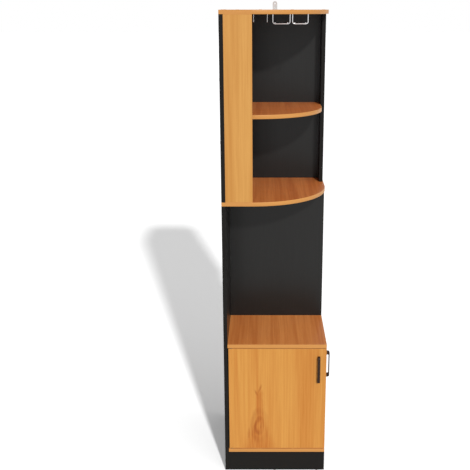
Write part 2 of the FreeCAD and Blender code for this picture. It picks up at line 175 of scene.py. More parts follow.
# %% Node group: wood print
BAND_SCALE = (26.0, 26.0, 0.9)
BAND_RANGE = (0.32, 0.68)
BAND_SHARE = 0.52
STREAK_SCALE = (115.0, 115.0, 2.4)
STREAK_RANGE = (0.34, 0.66)
STREAK_SHARE = 0.48
STREAK_RELIEF = 0.25
PORE_SCALE = (1100.0, 1100.0, 30.0)
PORE_RANGE = (0.60, 0.76)
PORE_SHARE = 0.22
PORE_DULLNESS = 0.12
PORE_RELIEF = -1.0
WANDER_SCALE = (7.0, 7.0, 1.6)
WANDER = 0.012
RUB_SCALE = (9.0, 9.0, 9.0)
RUB_RANGE = (0.3, 0.7)
LAMINATE_ROUGHNESS = (0.42, 0.52)

wood_print, source, sink = start_group(
    "wood_print",
    [("Place", "Vector"), ("Cut", "Vector"), ("Light", "Color"), ("Dark", "Color"), ("Pore", "Color")],
    SURFACE_OUTPUTS,
)
tree = wood_print
sheet = vector_calc(tree, "ADD", source["Place"], source["Cut"])
wander = calc(tree, "SUBTRACT", noise(tree, sheet, WANDER_SCALE), NOISE_MIDDLE)
aside = put(tree, "ShaderNodeCombineXYZ", {"X": calc(tree, "MULTIPLY", wander, WANDER)}).outputs[0]
grain = vector_calc(tree, "ADD", sheet, aside)
bands = noise(tree, grain, BAND_SCALE, detail=2.0)
streaks = noise(tree, grain, STREAK_SCALE, detail=5.0, roughness=0.65)
pores = ramp(tree, noise(tree, grain, PORE_SCALE, detail=2.0), *PORE_RANGE)
band_tone = ramp(tree, bands, *BAND_RANGE, to_high=BAND_SHARE)
streak_tone = ramp(tree, streaks, *STREAK_RANGE, to_high=STREAK_SHARE)
tone = calc(tree, "ADD", band_tone, streak_tone)
paper = blend_colour(tree, tone, source["Light"], source["Dark"])
pored = blend_colour(tree, calc(tree, "MULTIPLY", pores, PORE_SHARE), paper, source["Pore"])
rubbed = ramp(tree, noise(tree, sheet, RUB_SCALE, detail=4.0), *RUB_RANGE, *LAMINATE_ROUGHNESS)
pore_height = calc(tree, "MULTIPLY", pores, PORE_RELIEF)
tree.links.new(pored, sink["Color"])
tree.links.new(calc(tree, "MULTIPLY_ADD", pores, PORE_DULLNESS, rubbed), sink["Roughness"])
tree.links.new(calc(tree, "MULTIPLY_ADD", streaks, STREAK_RELIEF, pore_height), sink["Height"])
print("wood print:", len(tree.nodes), "nodes")

# %% [markdown]
# ## The heart of the log
# Where a log is cut near its middle, the grain opens into a brown, wandering heart with a knot in it.
# The front door has one, left of its middle.
# It could be painted as a picture, but a few distances do: how far a point lies below the heart's top,
# how far beside its wandering middle line, and how far round the knot. This cell starts the group and
# measures the first two. They give a column that is narrow at its neck and opens further down.

# %% Node group: heart figure, its column
HEART_NECK = 0.0135
HEART_OPENS = 0.130
HEART_SPREAD = 0.28
HEART_EDGE = (1.45, 0.45)
HEART_STARTS = (0.008, 0.045)
SWAY_SCALE = (9.0, 0.0, 11.0)
SWAY_ASIDE = 0.016
SHAKE_SCALE = (70.0, 0.0, 38.0)
SHAKE_ASIDE = 0.009
SHAKE_ALONG = 0.018
PATCH_SCALE = (190.0, 0.0, 8.0)
PATCH_RANGE = (0.36, 0.62)
PATCH_LEAST = 0.45

heart_figure, source, sink = start_group(
    "heart_figure",
    [("Color", "Color"), ("Place", "Vector"), ("Top", "Vector"), ("Heart", "Color"), ("Knot", "Color")],
    [("Color", "Color")],
)
tree = heart_figure
apart = vector_calc(tree, "SUBTRACT", source["Place"], source["Top"])
parts = put(tree, "ShaderNodeSeparateXYZ", {0: apart}).outputs
sway = calc(tree, "SUBTRACT", noise(tree, source["Place"], SWAY_SCALE, detail=2.0), NOISE_MIDDLE)
shake = calc(tree, "SUBTRACT", noise(tree, source["Place"], SHAKE_SCALE, detail=4.0), NOISE_MIDDLE)
swayed = calc(tree, "MULTIPLY_ADD", sway, SWAY_ASIDE, parts["X"])
beside = calc(tree, "MULTIPLY_ADD", shake, SHAKE_ASIDE, swayed)
below = calc(tree, "SUBTRACT", calc(tree, "MULTIPLY", shake, SHAKE_ALONG), parts["Z"])
patches = noise(tree, source["Place"], PATCH_SCALE, detail=4.0)
patchy = ramp(tree, patches, *PATCH_RANGE, to_low=PATCH_LEAST)
opening = calc(tree, "MAXIMUM", calc(tree, "SUBTRACT", below, HEART_OPENS), 0.0)
half_width = calc(tree, "MULTIPLY_ADD", opening, HEART_SPREAD, HEART_NECK)
share = calc(tree, "DIVIDE", calc(tree, "ABSOLUTE", beside), half_width)
column = calc(tree, "MULTIPLY", ramp(tree, share, *HEART_EDGE), ramp(tree, below, *HEART_STARTS))
print("heart column:", len(tree.nodes), "nodes")

# %% [markdown]
# ## The knot
# The knot is an oval with a pale eye, a dark rim and a fainter ring around it, darker on its left.
# Noise alone could give a knot somewhere, but not in a chosen place. So the knot is a stroke, an oval
# that is measured from its own middle: its edge is at 1, and eye, rim and ring are each a range of
# that measure.

# %% Node group: heart figure, its knot
KNOT_BELOW = 0.178
KNOT_WIDE = 0.015
KNOT_LONG = 0.031
EYE_EDGE = (0.70, 0.20)
EYE_PALENESS = 0.45
RIM_RADIUS = 1.05
RIM_EDGE = (0.55, 0.05)
RING_RADIUS = 2.1
RING_EDGE = (0.75, 0.05)
RING_DEPTH = 0.50
LEFT_SHADE_ACROSS = (1.0, -0.9)
LEFT_SHADE_LEAST = 0.45


def stroke(beside_at, below_at, slant, wide, long):
    lower = calc(tree, "SUBTRACT", below, below_at)
    middle = calc(tree, "MULTIPLY_ADD", lower, slant, beside_at)
    across = calc(tree, "DIVIDE", calc(tree, "SUBTRACT", beside, middle), wide)
    along = calc(tree, "DIVIDE", lower, long)
    flat = put(tree, "ShaderNodeCombineXYZ", {"X": across, "Y": along}).outputs[0]
    radius = put(tree, "ShaderNodeVectorMath", {0: flat}, operation="LENGTH").outputs["Value"]
    return across, radius


def off_radius(value, radius):
    return calc(tree, "ABSOLUTE", calc(tree, "SUBTRACT", value, radius))


knot_across, knot_radius = stroke(0.0, KNOT_BELOW, 0.0, KNOT_WIDE, KNOT_LONG)
eye = ramp(tree, knot_radius, *EYE_EDGE, to_high=EYE_PALENESS)
around_eye = calc(tree, "SUBTRACT", 1.0, eye)
heart = calc(tree, "MULTIPLY", calc(tree, "MULTIPLY", column, patchy), around_eye)
figured = blend_colour(tree, heart, source["Color"], source["Heart"])
rim = ramp(tree, off_radius(knot_radius, RIM_RADIUS), *RIM_EDGE)
ring = ramp(tree, off_radius(knot_radius, RING_RADIUS), *RING_EDGE, to_high=RING_DEPTH)
darker_left = ramp(tree, knot_across, *LEFT_SHADE_ACROSS, to_low=LEFT_SHADE_LEAST)
knot = calc(tree, "MULTIPLY", calc(tree, "MAXIMUM", rim, ring), darker_left)
print("heart with its knot:", len(tree.nodes), "nodes")

# %% [markdown]
# ## Dark marks around the knot
# A few short dark marks stand above and beside the knot. Each could have nodes of its own, but a mark
# is the same kind of stroke as the knot, only smaller and mostly slanted. So the same function gives
# them all, and where they overlap, the darkest counts.

# %% Node group: heart figure, its marks
MARK_EDGE = (1.3, 0.2)
marks = knot
for depth, mark in (
    (0.75, {"beside_at": -0.0150, "below_at": 0.033, "slant": 0.35, "wide": 0.0055, "long": 0.015}),
    (0.70, {"beside_at": 0.0000, "below_at": 0.014, "slant": -0.35, "wide": 0.0050, "long": 0.020}),
    (0.70, {"beside_at": -0.0170, "below_at": 0.188, "slant": -0.12, "wide": 0.0065, "long": 0.046}),
    (0.70, {"beside_at": 0.0080, "below_at": 0.178, "slant": 0.0, "wide": 0.0045, "long": 0.022}),
    (0.50, {"beside_at": -0.0440, "below_at": 0.214, "slant": -0.10, "wide": 0.0085, "long": 0.032}),
):
    mark_across, mark_radius = stroke(**mark)
    marks = calc(tree, "MAXIMUM", marks, ramp(tree, mark_radius, *MARK_EDGE, to_high=depth))
marked = blend_colour(tree, calc(tree, "MULTIPLY", marks, patchy), figured, source["Knot"])
tree.links.new(marked, sink["Color"])
print("heart figure:", len(tree.nodes), "nodes")

# %% [markdown]
# ## Streaks for edge bands, black paper and bare wood
# A cut edge is closed by a thin strip of plastic, printed with plain streaks along its length. The
# black paper has the same kind of streaks, almost too dark to see, and so has bare beech. They are the
# same effect at another stretch, so they share one group.

# %% Node group: plain streaks
PLAIN_INPUTS = [
    ("Place", "Vector"),
    ("Light", "Color"),
    ("Dark", "Color"),
    ("Smooth", "Float"),
    ("Rough", "Float"),
]
LINE_SCALE = (1.0, 1.0, 1.0)
LINE_SHARE = 0.65
CLOUD_SCALE = (0.06, 0.06, 0.06)
CLOUD_SHARE = 0.35
SOFT_RANGE = (0.30, 0.70)


def vary_gloss(tree, source, value):
    inputs = {"Value": value, "To Min": source["Smooth"], "To Max": source["Rough"]}
    return put(tree, "ShaderNodeMapRange", inputs).outputs["Result"]


plain_streaks, source, sink = start_group("plain_streaks", PLAIN_INPUTS, SURFACE_OUTPUTS)
tree = plain_streaks
lines = noise(tree, source["Place"], LINE_SCALE, detail=5.0, roughness=0.6)
clouds = noise(tree, source["Place"], CLOUD_SCALE, detail=2.0)
line_tone = ramp(tree, lines, *SOFT_RANGE, to_high=LINE_SHARE)
cloud_tone = ramp(tree, clouds, *SOFT_RANGE, to_high=CLOUD_SHARE)
shade = calc(tree, "ADD", line_tone, cloud_tone)
tree.links.new(blend_colour(tree, shade, source["Light"], source["Dark"]), sink["Color"])
tree.links.new(vary_gloss(tree, source, clouds), sink["Roughness"])
tree.links.new(lines, sink["Height"])
print("plain streaks:", len(tree.nodes), "nodes")

# %% [markdown]
# ## Mottling for metal and plastic
# Plated steel and moulded plastic are never one even colour: plating has pale and dark patches, and
# plastic a fine pebble. One group of two noises at different sizes serves both.

# %% Node group: mottling
PATCHES_SCALE = (1.0, 1.0, 1.0)
PEBBLE_SCALE = (9.0, 9.0, 9.0)

mottling, source, sink = start_group("mottling", PLAIN_INPUTS, SURFACE_OUTPUTS)
tree = mottling
patches = noise(tree, source["Place"], PATCHES_SCALE)
pebble = noise(tree, source["Place"], PEBBLE_SCALE, detail=2.0)
shade = ramp(tree, patches, *SOFT_RANGE)
tree.links.new(blend_colour(tree, shade, source["Light"], source["Dark"]), sink["Color"])
tree.links.new(vary_gloss(tree, source, patches), sink["Roughness"])
tree.links.new(pebble, sink["Height"])
print("mottling:", len(tree.nodes), "nodes")

# %% [markdown]
# ## One maker for all finishes
# Each finish is a Principled shader fed by the wood print, the streaks or the mottling. The group
# gives what changes over the surface: colour, roughness and a small height for the bump. What is the
# same everywhere, such as how metallic it is, is set on the shader's own socket, because only there
# does an exported model keep it.

# %% Helper: make a finish
UNTURNED = (0.0, 0.0, 0.0)
UNSTRETCHED = (1.0, 1.0, 1.0)


def make_finish(name, group, values, constants, stretch=UNSTRETCHED, turn=UNTURNED, bump=0.05):
    material = bpy.data.materials.new(name)
    material.use_nodes = True
    tree = material.node_tree
    shader = tree.nodes["Principled BSDF"]
    for socket, value in constants.items():
        shader.inputs[socket].default_value = value
    spot = put(tree, "ShaderNodeTexCoord").outputs["Object"]
    mapping = {"Vector": spot, "Scale": stretch, "Rotation": turn}
    place = put(tree, "ShaderNodeMapping", mapping).outputs[0]
    effect = put(tree, "ShaderNodeGroup", node_tree=group)
    tree.links.new(place, effect.inputs["Place"])
    for socket, value in values.items():
        effect.inputs[socket].default_value = value
    relief = {"Height": effect.outputs["Height"], "Strength": bump, "Distance": MM}
    tree.links.new(put(tree, "ShaderNodeBump", relief).outputs[0], shader.inputs["Normal"])
    tree.links.new(effect.outputs["Color"], shader.inputs["Base Color"])
    tree.links.new(effect.outputs["Roughness"], shader.inputs["Roughness"])
    return material


print("finish maker ready")

# %% [markdown]
# ## The honey wood
# The same print is used on all of it: with its grain upright on the doors and the narrow front panel,
# and with its grain running from front to back on the level boards. The front door and the counter are
# cut from other places of the printed sheet than the rest.
# Level boards are given a redder colour than upright ones as painted shade, for the shade that falls on
# their tops. The counter is given a paler colour than the other level boards as painted light, for the
# stronger light that reaches it. The narrow panel is a little yellower than the doors, so each has its own
# two colours.

# %% Finishes: wood
DOOR_LIGHT = (0.667, 0.318, 0.069, 1.0)
DOOR_DARK = (0.542, 0.200, 0.033, 1.0)
PANEL_LIGHT = (0.660, 0.336, 0.087, 1.0)
PANEL_DARK = (0.545, 0.238, 0.050, 1.0)
# Level board colours: made redder than the doors as painted shade on their tops.
LEVEL_LIGHT_PAINTED_SHADE = (0.710, 0.243, 0.065, 1.0)
LEVEL_DARK_PAINTED_SHADE = (0.505, 0.132, 0.028, 1.0)
# Counter colours: made paler than the other level boards as painted light.
COUNTER_LIGHT_PAINTED_LIGHT = (0.800, 0.300, 0.080, 1.0)
COUNTER_DARK_PAINTED_LIGHT = (0.590, 0.170, 0.036, 1.0)
PORE_BROWN = (0.420, 0.130, 0.020, 1.0)
GRAIN_TO_BACK = (math.pi / 2, 0.0, 0.0)
FRONT_DOOR_CUT = 2.055
COUNTER_CUT = 1.781
LAMINATE = {"Specular IOR Level": 0.25}


def wood_finish(name, light, dark, turn=UNTURNED, cut=0.0):
    values = {"Cut": (cut, 0.0, 0.0), "Light": light, "Dark": dark, "Pore": PORE_BROWN}
    return make_finish(name, wood_print, values, LAMINATE, turn=turn)


wood_panel = wood_finish("wood_panel", PANEL_LIGHT, PANEL_DARK)
wood_side_door = wood_finish("wood_side_door", DOOR_LIGHT, DOOR_DARK)
wood_front_door = wood_finish("wood_front_door", DOOR_LIGHT, DOOR_DARK, cut=FRONT_DOOR_CUT)
wood_level_painted_shade = wood_finish("wood_level_painted_shade", LEVEL_LIGHT_PAINTED_SHADE, LEVEL_DARK_PAINTED_SHADE, GRAIN_TO_BACK)
wood_counter_painted_light = wood_finish("wood_counter_painted_light", COUNTER_LIGHT_PAINTED_LIGHT, COUNTER_DARK_PAINTED_LIGHT, GRAIN_TO_BACK, COUNTER_CUT)
print("wood finishes: panel, side door, front door, level boards, counter")

# %% [markdown]
# ## The heart on the front door
# The front door's print gets the heart on top. The group could be built into the wood print, but then
# every board would carry a heart. Here it is put between the print and the shader of one material, and
# its top is given from the door's own box in the frame.

# %% Finishes: heart on the front door
HEART_BROWN = (0.495, 0.160, 0.024, 1.0)
KNOT_BROWN = (0.370, 0.102, 0.014, 1.0)
HEART_FROM_LEFT = 0.121
HEART_FROM_TOP = 0.156


def add_heart(material, top):
    tree = material.node_tree
    shader = tree.nodes["Principled BSDF"]
    print_colour = shader.inputs["Base Color"].links[0].from_socket
    place = next(node for node in tree.nodes if node.type == "MAPPING").outputs[0]
    inputs = {"Color": print_colour, "Place": place, "Top": top, "Heart": HEART_BROWN, "Knot": KNOT_BROWN}
    figure = put(tree, "ShaderNodeGroup", inputs, node_tree=heart_figure)
    tree.links.new(figure.outputs["Color"], shader.inputs["Base Color"])


front_low, front_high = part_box("front_door")
heart_top = (front_low.x + HEART_FROM_LEFT, 0.0, front_high.z - HEART_FROM_TOP)
add_heart(wood_front_door, heart_top)
print("heart's top in mm:", in_mm(heart_top))

# %% [markdown]
# ## Edge bands and black laminate
# The wood bands are a little yellower than the level boards that they close. The black paper is a
# charcoal with a satin shine, in which the white room shows faintly. The black bands and the plinth
# are duller. Each could be one flat colour, but a long edge then looks painted, so all of them use the
# streaks, stretched along the board.

# %% Finishes: edge bands and black laminate
BAND_LEVEL = (6.0, 6.0, 420.0)
BAND_UPRIGHT = (420.0, 420.0, 6.0)
PAPER_UPRIGHT = (300.0, 300.0, 9.0)
PAPER_BUMP = 0.08
DULL = {"Specular IOR Level": 0.10}
SATIN = {"Specular IOR Level": 0.30}


def tones(light, dark, smooth, rough):
    return {"Light": (*light, 1.0), "Dark": (*dark, 1.0), "Smooth": smooth, "Rough": rough}


wood_tones = tones((0.645, 0.303, 0.083), (0.565, 0.245, 0.060), smooth=0.38, rough=0.50)
band_tones = tones((0.011, 0.010, 0.009), (0.007, 0.006, 0.0055), smooth=0.40, rough=0.52)
black_tones = tones((0.0080, 0.0078, 0.0072), (0.0056, 0.0054, 0.0050), smooth=0.28, rough=0.38)
wood_band_level = make_finish("wood_band_level", plain_streaks, wood_tones, LAMINATE, BAND_LEVEL)
wood_band_upright = make_finish("wood_band_upright", plain_streaks, wood_tones, LAMINATE, BAND_UPRIGHT)
black_band = make_finish("black_band", plain_streaks, band_tones, DULL, BAND_UPRIGHT)
black_paper = make_finish("black_paper", plain_streaks, black_tones, SATIN, PAPER_UPRIGHT, bump=PAPER_BUMP)
black_plinth = make_finish("black_plinth", plain_streaks, band_tones, DULL, BAND_LEVEL, bump=PAPER_BUMP)
print("finishes: wood bands, black band, black paper, black plinth")

# %% [markdown]
# ## Metal, plastic and bare wood
# The handles are painted a dark bronze, the rack is chrome, the screws and pins are zinc plated, and
# the bushes, catches and glides are moulded plastic. Metals take their look from what they mirror, so
# they need little colour of their own. The tab of the wall bracket is a pale grey paint.
# Each could have a pattern of its own, but on such small pieces only slight patches and changes of
# gloss can be seen, so the mottling serves all of them apart from the bare beech.

# %% Finishes: metal, plastic and bare wood
BROAD = (60.0, 60.0, 60.0)
MIDDLING = (120.0, 120.0, 120.0)
FINE = (240.0, 240.0, 240.0)
METAL = {"Metallic": 1.0}
BRONZE_PAINT = {"Specular IOR Level": 0.18}
GREY_PAINT = {"Metallic": 0.1, "Specular IOR Level": 0.2}
MOULDED = {"Specular IOR Level": 0.4}
BARE_WOOD = {"Specular IOR Level": 0.3}
bronze_tones = tones((0.034, 0.016, 0.009), (0.020, 0.009, 0.005), smooth=0.34, rough=0.48)
chrome_tones = tones((0.78, 0.78, 0.79), (0.66, 0.66, 0.67), smooth=0.10, rough=0.22)
grey_tones = tones((0.60, 0.60, 0.59), (0.52, 0.52, 0.51), smooth=0.45, rough=0.60)
zinc_tones = tones((0.68, 0.68, 0.66), (0.54, 0.54, 0.53), smooth=0.30, rough=0.48)
plastic_tones = tones((0.030, 0.030, 0.031), (0.022, 0.022, 0.023), smooth=0.42, rough=0.58)
beech_tones = tones((0.62, 0.43, 0.25), (0.52, 0.34, 0.18), smooth=0.60, rough=0.75)
bronze = make_finish("dark_bronze", mottling, bronze_tones, BRONZE_PAINT, BROAD)
tab_grey = make_finish("tab_grey", mottling, grey_tones, GREY_PAINT, FINE)
chrome = make_finish("chrome_wire", mottling, chrome_tones, METAL, BROAD, bump=0.01)
zinc = make_finish("zinc_plate", mottling, zinc_tones, METAL, FINE, bump=0.04)
plastic = make_finish("dark_plastic", mottling, plastic_tones, MOULDED, MIDDLING, bump=0.1)
beech = make_finish("bare_beech", plain_streaks, beech_tones, BARE_WOOD, BAND_UPRIGHT, bump=0.15)
print("finishes: bronze, grey tab, chrome, zinc, plastic, beech")

# %% [markdown]
# ## Helpers for new pieces
# Every new piece is shaped as a bmesh, turned into a mesh with its place in its points, and tied to a
# body of the frame, so that it moves with it. Its sharp edges could be softened by a modifier, but a
# bevel in the bmesh leaves a finished mesh.

# %% Helpers: keep a piece and soften its edges
SHARP_TURN = math.radians(40)


def keep_piece(shape, name, materials, body):
    mesh = bpy.data.meshes.new(name)
    shape.to_mesh(mesh)
    shape.free()
    for material in materials:
        mesh.materials.append(material)
    piece = bpy.data.objects.new(name, mesh)
    bpy.context.scene.collection.objects.link(piece)
    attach(piece, body)
    return piece


def soften(shape, geom, radius, segments, affect="EDGES"):
    bmesh.ops.bevel(shape, geom=geom, offset=radius, offset_type="OFFSET", affect=affect,
                    segments=segments, profile=0.5, material=-1)


def sharp_edges(shape):
    return [edge for edge in shape.edges if edge.is_manifold and edge.calc_face_angle() > SHARP_TURN]


print("edges that turn by more than", round(math.degrees(SHARP_TURN)), "degrees count as sharp")

# %% [markdown]
# ## The shape of a board
# A laminated board has paper on its two wide faces and a band around its edge, and every corner is
# eased by a stroke of sandpaper. It could be a plain box, but a box with razor edges catches no light.
# So a cube is stretched to the board's own box, one upright corner is rounded where the real board is,
# the wide faces are inset by the band's thickness, and the sharp edges are beveled a little. Only the
# faces of the round corner, which lean to both X and Y, are shaded smooth.

# %% Helpers: shape a board
EASE = 0.6 * MM
EASE_STEPS = 2
BAND_THICKNESS = 1.0 * MM
ARC_STEPS = 40
FACING = 0.9
LEAST_LEAN = 1e-4
LOW_FACE, EDGE_BAND, HIGH_FACE = range(3)


def round_corner(shape, low, high, radius):
    corner = [
        edge for edge in shape.edges
        if all(abs(end.co.x - high.x) < MM and abs(end.co.y - low.y) < MM for end in edge.verts)
    ]
    soften(shape, corner, radius, ARC_STEPS)


def board_shape(low, high, radius):
    shape = bmesh.new()
    bmesh.ops.create_cube(shape, size=1.0)
    size = high - low
    bmesh.ops.scale(shape, vec=size, verts=shape.verts)
    bmesh.ops.translate(shape, vec=(low + high) / 2, verts=shape.verts)
    if radius:
        round_corner(shape, low, high, radius)
    thin = min(range(3), key=lambda axis: size[axis])
    shape.normal_update()
    wide = [face for face in shape.faces if abs(face.normal[thin]) > FACING]
    for face in shape.faces:
        face.material_index = EDGE_BAND
        face.smooth = radius > 0 and abs(face.normal.x * face.normal.y) > LEAST_LEAN
    ring = bmesh.ops.inset_individual(shape, faces=wide, thickness=BAND_THICKNESS, use_even_offset=True)
    for face in ring["faces"]:
        face.material_index = EDGE_BAND
    for face in wide:
        face.material_index = HIGH_FACE if face.normal[thin] > 0 else LOW_FACE
    soften(shape, sharp_edges(shape), EASE, EASE_STEPS)
    return shape


print("easing and edge band in mm:", in_mm((EASE, BAND_THICKNESS)))

# %% [markdown]
# ## Dressing a board
# Each board takes its size and place from the frame: the new piece fills its node's own box and stands
# for that node. Paper and band could be pieces of their own, but the real ones are pressed on and
# never part, so one mesh has three finishes: one for each wide face, and one for the band.

# %% Helper: dress a board
def dress_board(node, face, band, body="cabinet", radius=0.0, other_face=None):
    low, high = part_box(node)
    finishes = (face, band, other_face or face)
    piece = keep_piece(board_shape(low, high, radius), node + "_dressed", finishes, body)
    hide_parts(node)
    print(node, "is dressed:", len(piece.data.polygons), "faces")


print("board dresser ready")

# %% [markdown]
# ## Level boards
# The top board, the mid board and the upper shelf have a quarter-round corner at the front right,
# where the cabinet ends in the room. The counter and the bottom board are straight, because the doors
# close against them.

# %% Pieces: level boards
CORNER_RADIUS = 285 * MM
SHELF_RADIUS = 257 * MM
for node, finish, radius in (
    ("top_board", wood_level_painted_shade, CORNER_RADIUS),
    ("mid_board", wood_level_painted_shade, CORNER_RADIUS),
    ("upper_shelf", wood_level_painted_shade, SHELF_RADIUS),
    ("counter_top", wood_counter_painted_light, 0.0),
    ("bottom_board", wood_level_painted_shade, 0.0),
):
    dress_board(node, finish, wood_band_level, radius=radius)

# %% [markdown]
# ## Upright panels and doors
# Wood stands at the front: one narrow panel above, two doors below. Everything that stands against a
# wall is black, and so is the plinth. The heart is on the front door's outer face only, so its inner
# face has the side door's print.

# %% Pieces: panels, plinths and doors
dress_board("front_upper_panel", wood_panel, wood_band_upright)
dress_board("front_door", wood_front_door, wood_band_upright, body="front_door_body",
            other_face=wood_side_door)
dress_board("side_door", wood_side_door, wood_band_upright, body="side_door_body")
for node in (
    "left_lower_panel",
    "left_upper_panel",
    "back_lower_panel",
    "back_upper_panel",
    "right_upper_panel",
):
    dress_board(node, black_paper, black_band)
for node in ("front_plinth", "side_plinth"):
    dress_board(node, black_plinth, black_band)

# %% [markdown]
# ## The shape of a bow handle
# Each handle is a flat strap bent into a bow. It could be swept along a curve, but the strap is flat on
# both sides, so its side view is drawn with eight points, the bends are rounded as beveled points, and
# the face is extruded to the strap's width. Extruding it as a region would also keep the near side, but
# the order of the new faces then changes from run to run. As a single face it leaves that side open, so
# the open edges are filled.

# %% Helpers: shape a bow handle
LEG = 14 * MM
STRAP = 4 * MM
OUTER_BEND = 7 * MM
INNER_BEND = 3.5 * MM
BEND_STEPS = 6
HANDLE_EASE = 0.9 * MM
HANDLE_EASE_STEPS = 3
X_AXIS, Y_AXIS = range(2)


def bow_points(length, reach):
    end = length / 2
    gap = end - LEG
    grip = reach - STRAP
    outside = [(-end, 0), (-end, reach), (end, reach), (end, 0)]
    inside = [(gap, 0), (gap, grip), (-gap, grip), (-gap, 0)]
    return outside + inside


def bow_shape(low, high, out, towards):
    size = high - low
    width_axis = X_AXIS + Y_AXIS - out
    foot = low[out] if towards > 0 else high[out]
    shape = bmesh.new()
    verts = []
    for length_step, reach_step in bow_points(size.z, size[out]):
        spot = (low + high) / 2
        spot.z += length_step
        spot[out] = foot + towards * reach_step
        spot[width_axis] = low[width_axis]
        verts.append(shape.verts.new(spot))
    shape.faces.new(verts)
    outer_bends = verts[1:3]
    inner_bends = verts[5:7]
    soften(shape, outer_bends, OUTER_BEND, BEND_STEPS, affect="VERTICES")
    soften(shape, inner_bends, INNER_BEND, BEND_STEPS, affect="VERTICES")
    far_side = bmesh.ops.extrude_discrete_faces(shape, faces=shape.faces[:])["faces"][0]
    lift = Vector()
    lift[width_axis] = size[width_axis]
    bmesh.ops.translate(shape, vec=lift, verts=far_side.verts[:])
    open_edges = [edge for edge in shape.edges if edge.is_boundary]
    bmesh.ops.edgeloop_fill(shape, edges=open_edges)
    bmesh.ops.recalc_face_normals(shape, faces=shape.faces)
    soften(shape, sharp_edges(shape), HANDLE_EASE, HANDLE_EASE_STEPS)
    for face in shape.faces:
        face.smooth = True
    return shape


print("leg and strap of a handle in mm:", in_mm((LEG, STRAP)))

# %% [markdown]
# ## Handles on the doors
# One handle stands out to the front and one to the right, both upright and each on its own door. The
# second could be a turned copy of the first, but a finished piece keeps its place in its mesh, so each
# is shaped in its own node's box.

# %% Pieces: handles
HANDLE_SHARP_TURN = math.radians(50)


def dress_handle(side, out, towards):
    low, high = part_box(side + "_handle")
    shape = bow_shape(low, high, out, towards)
    piece = keep_piece(shape, side + "_handle_dressed", (bronze,), side + "_door_body")
    piece.data.set_sharp_from_angle(angle=HANDLE_SHARP_TURN)
    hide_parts(side + "_handle")
    print(side, "handle:", len(piece.data.polygons), "faces")


dress_handle("front", Y_AXIS, towards=-1.0)
dress_handle("side", X_AXIS, towards=1.0)

# %% [markdown]
# ## Where the screws are
# The carcass is held by screws whose heads lie flush in the boards. On such furniture each head is
# hidden under a small stick-on cap in the board's colour.
# The caps' places could be listed by hand, but the frame knows where every screw is: a copy of a screw
# group is merged, its solids are told apart by walking along their edges, and each solid's box is kept.

# %% Helper: boxes of the separate solids
MERGE = 0.001 * MM


def joined_points(first, seen):
    seen.add(first)
    waiting = [first]
    points = []
    while waiting:
        vert = waiting.pop()
        points.append(vert.co.copy())
        for edge in vert.link_edges:
            other = edge.other_vert(vert)
            if other not in seen:
                seen.add(other)
                waiting.append(other)
    return points


def separate_boxes(node):
    shape = bmesh.new()
    shape.from_mesh(frame["nodes"][node].data)
    bmesh.ops.remove_doubles(shape, verts=shape.verts, dist=MERGE)
    seen = set()
    boxes = []
    for vert in shape.verts:
        if vert not in seen:
            points = joined_points(vert, seen)
            boxes.append((Vector(map(min, zip(*points))), Vector(map(max, zip(*points)))))
    shape.free()
    return boxes


print("screws in the left side:", len(separate_boxes("left_side_screws")))

# %% [markdown]
# ## Cover caps
# A cap is a thin disc with a slanted rim and a slightly raised middle. A plain disc would look cut out
# of paper, so it is made as a flat cone, turned to face out of its board, and its top face is inset and
# lifted.

# %% Pieces: cover caps
CAP_RADIUS = 6.5 * MM
CAP_THICKNESS = 0.5 * MM
CAP_CROWN = 0.1 * MM
CAP_SIDES = 32
LEFTWARD = Vector((-1, 0, 0))
BACKWARD = Vector((0, 1, 0))
UPWARD = Vector((0, 0, 1))


def cap_screws(name, node, outward, material):
    shape = bmesh.new()
    axis = max(range(3), key=lambda number: abs(outward[number]))
    for low, high in separate_boxes(node):
        spot = (low + high) / 2
        spot[axis] = high[axis] if outward[axis] > 0 else low[axis]
        turn = UPWARD.rotation_difference(outward).to_matrix().to_4x4()
        turn.translation = spot + outward * (CAP_THICKNESS / 2)
        made = bmesh.ops.create_cone(shape, cap_ends=True, segments=CAP_SIDES, radius1=CAP_RADIUS,
                                     radius2=CAP_RADIUS - CAP_THICKNESS, depth=CAP_THICKNESS, matrix=turn)
        faces = {face for vert in made["verts"] for face in vert.link_faces}
        crown = [face for face in faces if face.normal.dot(outward) > FACING]
        bmesh.ops.inset_individual(shape, faces=crown, thickness=CAP_THICKNESS, depth=CAP_CROWN)
    piece = keep_piece(shape, name, (material,), "cabinet")
    print(name + ":", len(piece.data.polygons), "faces")


cap_screws("left_cover_caps", "left_side_screws", LEFTWARD, black_band)
cap_screws("back_cover_caps", "back_screws", BACKWARD, black_band)
cap_screws("top_cover_caps", "top_board_screws", UPWARD, wood_band_level)
cap_screws("mid_cover_caps", "mid_board_screws", -UPWARD, wood_band_level)
cap_screws("floor_cover_caps", "plinth_screws", UPWARD, wood_band_level)

# %% [markdown]
# ## The frame's own pieces
# Wire, screws, pins, catches and glides already have their right shape in the frame. They could be
# modelled again, but that would add nothing, so they keep it and only get a finish.

# %% Finishes on the frame's pieces
KEPT_FINISHES = {
    "chrome_wire": chrome,
    "zinc": zinc,
    "dark_plastic": plastic,
    "raw_wood": beech,
    "black_metal": bronze,
    "wood_board": wood_panel,
    "black_board": black_paper,
}
for entry in frame["record"]["subparts"]:
    slots = frame["nodes"][entry["node"]].data.materials
    slots.clear()
    slots.append(KEPT_FINISHES[entry["material_slot"]])
frame["nodes"]["wall_bracket"].data.materials[0] = tab_grey
print("finishes given to", len(frame["nodes"]), "frame nodes")

# %% [markdown]
# ## The floor
# The cabinet stands on a white studio floor. A floor lit like the cabinet would be grey, because the
# light comes in low, so for camera and mirror rays the floor is shown brighter and adds a little white
# of its own. It still receives the shadow, and the light that it throws back onto the cabinet is only
# that of a pale floor.

